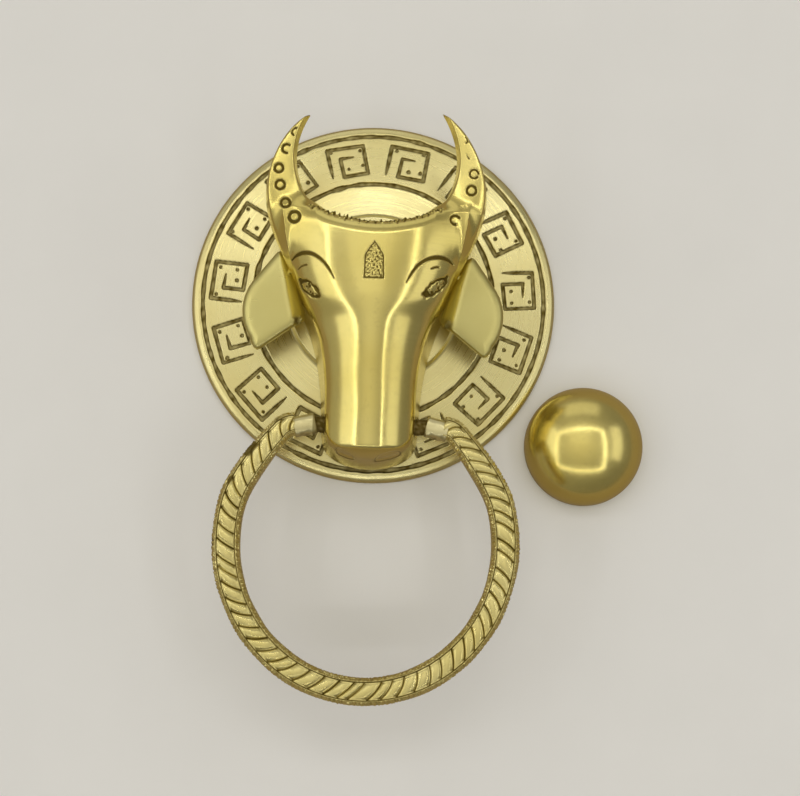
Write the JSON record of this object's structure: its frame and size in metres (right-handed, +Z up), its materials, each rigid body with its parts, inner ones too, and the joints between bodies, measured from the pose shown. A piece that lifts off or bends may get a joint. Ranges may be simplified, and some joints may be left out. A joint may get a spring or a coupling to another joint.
{
  "type": "door knocker",
  "caption": "Brass door knocker: cow-head casting on a round engraved backplate, a ring that swings on a pivot rod through the muzzle, and a separate domed striker.",
  "frame": {"origin": "centre of the backplate's back face, which lies on the door", "axes": "+Z up, -Y straight out of the door towards the viewer, +Y into the door, +X to the viewer's right"},
  "size_m": [0.1432, 0.0415, 0.1838],
  "materials": {
    "plate_brass": "satin turned plate, with dark patina in its engraved lines",
    "head_brass": "brushed and polished casting",
    "ring_brass": "cast, hand worked, with dark patina in its notches",
    "ferrule_brass": "pale brazed sleeve with a filed surface",
    "dome_brass": "polished",
    "zinc_steel": "zinc plated"
  },
  "bodies": {
    "knocker": {"backplate": "plate_brass", "head_casting": "head_brass", "ear_left": "head_brass", "ear_right": "head_brass", "head_screws": "zinc_steel", "head_screw_washers": "zinc_steel", "striker_dome": "dome_brass"},
    "ring": {"ring_handle": "ring_brass", "ring_ferrule_left": "ferrule_brass", "ring_ferrule_right": "ferrule_brass", "pivot_rod": "ring_brass"}
  },
  "joints": [
    {"name": "ring_swing", "type": "hinge", "parent": "knocker", "child": "ring", "pos_m": [0, -0.022, -0.0424], "axis": [-1, 0, 0], "range_deg": [-12, 165]}
  ]
}
